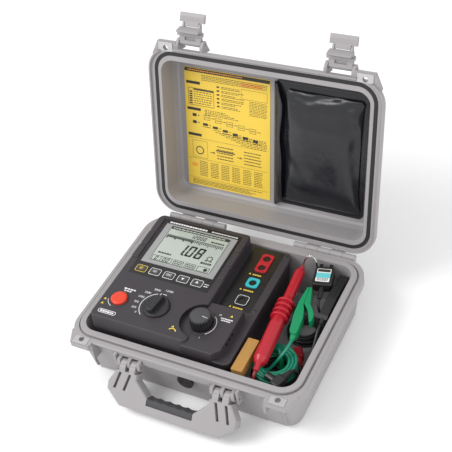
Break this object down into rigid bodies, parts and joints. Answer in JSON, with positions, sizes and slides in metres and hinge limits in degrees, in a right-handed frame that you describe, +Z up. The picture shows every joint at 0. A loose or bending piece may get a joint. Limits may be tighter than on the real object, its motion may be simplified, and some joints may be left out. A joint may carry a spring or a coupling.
{
  "type": "insulation resistance tester",
  "caption": "Insulation resistance tester in a hard carrying case with hinged lid, latches, folding handle, test button, range knob, display, probe, clips and coiled leads.",
  "frame": {"origin": "middle of the case's underside, on the surface it stands on", "axes": "+X to the user's right, +Y from the handle side back to the hinge side, +Z up"},
  "size_m": [0.374, 0.4476, 0.3984],
  "materials": {
    "case_plastic": "light warm grey, fine texture",
    "tester_plastic": "charcoal, fine texture",
    "black_plastic": "black, satin",
    "display_overlay": "black printed overlay",
    "display_glass": "pale grey-green display",
    "black_rubber": "black rubber",
    "grip_rubber": "dark grey rubber",
    "bright_steel": "plain bright",
    "chrome_wire": "polished",
    "red_plastic": "red, satin",
    "green_plastic": "teal green, satin",
    "orange_plastic": "orange-red",
    "pouch_vinyl": "black soft vinyl",
    "label_print": "yellow printed label",
    "board": "green circuit board",
    "cell_wrap": "wrapped dry cells",
    "transformer": "laminated core and winding",
    "paperboard": "kraft paperboard",
    "red_cord": "dark red cord",
    "green_cord": "green cord",
    "black_cord": "black cord"
  },
  "bodies": {
    "case": {"battery_cover": "tester_plastic", "battery_holder": "cell_wrap", "case_base": "case_plastic", "display_overlay": "display_overlay", "display_panel": "display_glass", "earth_clip_body": "black_plastic", "earth_coil": "black_cord", "earth_lead": "black_cord", "earth_plug": "black_plastic", "earth_terminal": "black_plastic", "guard_clip_body": "green_plastic", "guard_coil": "green_cord", "guard_lead": "green_cord", "guard_plug": "green_plastic", "guard_terminal": "green_plastic", "handle_pin_left": "bright_steel", "handle_pin_right": "bright_steel", "high_voltage_transformer": "transformer", "hinge_pin_left": "bright_steel", "hinge_pin_right": "bright_steel", "line_coil": "red_cord", "line_lead": "red_cord", "line_plug": "red_plastic", "line_terminal": "red_plastic", "main_board": "board", "optical_adapter": "black_plastic", "padlock_plate_base_left": "bright_steel", "padlock_plate_base_right": "bright_steel", "paper_box": "paperboard", "probe_body": "red_plastic", "probe_hook": "chrome_wire", "tester_bottom_case": "tester_plastic", "tester_top_cover": "tester_plastic", "usb_coil": "black_cord", "usb_lead": "black_cord", "usb_plug": "black_plastic"},
    "lid": {"lid_shell": "case_plastic", "lid_gasket": "black_rubber", "padlock_plate_lid_left": "bright_steel", "padlock_plate_lid_right": "bright_steel", "instruction_label": "label_print", "document_pouch": "pouch_vinyl"},
    "handle": {"handle_frame": "case_plastic", "handle_grip": "grip_rubber"},
    "valve": {"purge_valve": "black_plastic"},
    "button_stem": {"test_button_stem": "black_plastic"},
    "button_cap": {"test_button": "orange_plastic"},
    "range_knob": {"range_knob": "tester_plastic"},
    "adjust_dial": {"adjust_dial": "tester_plastic"},
    "guard_jaw": {"guard_clip_lever": "green_plastic"},
    "earth_jaw": {"earth_clip_lever": "black_plastic"},
    "latch_left": {"latch_body_left": "case_plastic"},
    "latch_lever_left": {"latch_lever_left": "case_plastic"},
    "latch_right": {"latch_body_right": "case_plastic"},
    "latch_lever_right": {"latch_lever_right": "case_plastic"},
    "key_backlight": {"key_backlight": "black_plastic"},
    "key_save": {"key_save": "black_plastic"},
    "key_function": {"key_function": "black_plastic"},
    "key_down": {"key_down": "black_plastic"},
    "key_up": {"key_up": "black_plastic"}
  },
  "joints": [
    {"name": "lid_hinge", "type": "hinge", "parent": "case", "child": "lid", "pos_m": [0, 0.1445, 0.08], "axis": [1, 0, 0], "range_deg": [0, 104.3]},
    {"name": "handle_hinge", "type": "hinge", "parent": "case", "child": "handle", "pos_m": [0, -0.142, 0.063], "axis": [1, 0, 0], "range_deg": [-63.5, 36.5]},
    {"name": "purge_valve_turn", "type": "hinge", "parent": "case", "child": "valve", "pos_m": [0.008, -0.1315, 0.05], "axis": [0, -1, 0], "range_deg": [0, 180]},
    {"name": "test_button_press", "type": "slide", "parent": "case", "child": "button_stem", "axis": [0, 0, -1], "range_m": [0, 0.003], "stiffness_N_per_m": 400, "springref_m": -0.001},
    {"name": "test_button_turn", "type": "hinge", "parent": "button_stem", "child": "button_cap", "pos_m": [-0.128, -0.067, 0.108], "axis": [0, 0, -1], "range_deg": [0, 60]},
    {"name": "range_knob_turn", "type": "hinge", "parent": "case", "child": "range_knob", "pos_m": [-0.067, -0.063, 0.106], "axis": [0, 0, 1], "range_deg": [0, 128]},
    {"name": "adjust_dial_turn", "type": "hinge", "parent": "case", "child": "adjust_dial", "pos_m": [0.008, -0.065, 0.098], "axis": [0, 0, 1], "continuous": true},
    {"name": "guard_clip_jaw", "type": "hinge", "parent": "case", "child": "guard_jaw", "pos_m": [0.1279, 0.02558, 0.081], "axis": [0, 0, -1], "range_deg": [0, 14], "stiffness_Nm_per_rad": 0.3, "springref_deg": -17.19},
    {"name": "earth_clip_jaw", "type": "hinge", "parent": "case", "child": "earth_jaw", "pos_m": [0.1573, 0.071, 0.0725], "axis": [-1, 0, 0], "range_deg": [0, 14], "stiffness_Nm_per_rad": 0.3, "springref_deg": -17.19},
    {"name": "latch_left_swing", "type": "hinge", "parent": "lid", "child": "latch_left", "pos_m": [-0.118, 0.2331, 0.35875], "axis": [1, 0, 0], "range_deg": [-30, 90]},
    {"name": "latch_lever_left_tip", "type": "hinge", "parent": "latch_left", "child": "latch_lever_left", "pos_m": [-0.118, 0.24371, 0.38339], "axis": [1, 0, 0], "range_deg": [-25, 12]},
    {"name": "latch_right_swing", "type": "hinge", "parent": "lid", "child": "latch_right", "pos_m": [0.118, 0.2331, 0.35875], "axis": [1, 0, 0], "range_deg": [-30, 90]},
    {"name": "latch_lever_right_tip", "type": "hinge", "parent": "latch_right", "child": "latch_lever_right", "pos_m": [0.118, 0.24371, 0.38339], "axis": [1, 0, 0], "range_deg": [-25, 12]},
    {"name": "key_backlight_press", "type": "slide", "parent": "case", "child": "key_backlight", "axis": [0, 0, -1], "range_m": [0, 0.0008], "stiffness_N_per_m": 500, "springref_m": -0.0005},
    {"name": "key_save_press", "type": "slide", "parent": "case", "child": "key_save", "axis": [0, 0, -1], "range_m": [0, 0.0008], "stiffness_N_per_m": 500, "springref_m": -0.0005},
    {"name": "key_function_press", "type": "slide", "parent": "case", "child": "key_function", "axis": [0, 0, -1], "range_m": [0, 0.0008], "stiffness_N_per_m": 500, "springref_m": -0.0005},
    {"name": "key_down_press", "type": "slide", "parent": "case", "child": "key_down", "axis": [0, 0, -1], "range_m": [0, 0.0008], "stiffness_N_per_m": 500, "springref_m": -0.0005},
    {"name": "key_up_press", "type": "slide", "parent": "case", "child": "key_up", "axis": [0, 0, -1], "range_m": [0, 0.0008], "stiffness_N_per_m": 500, "springref_m": -0.0005}
  ]
}
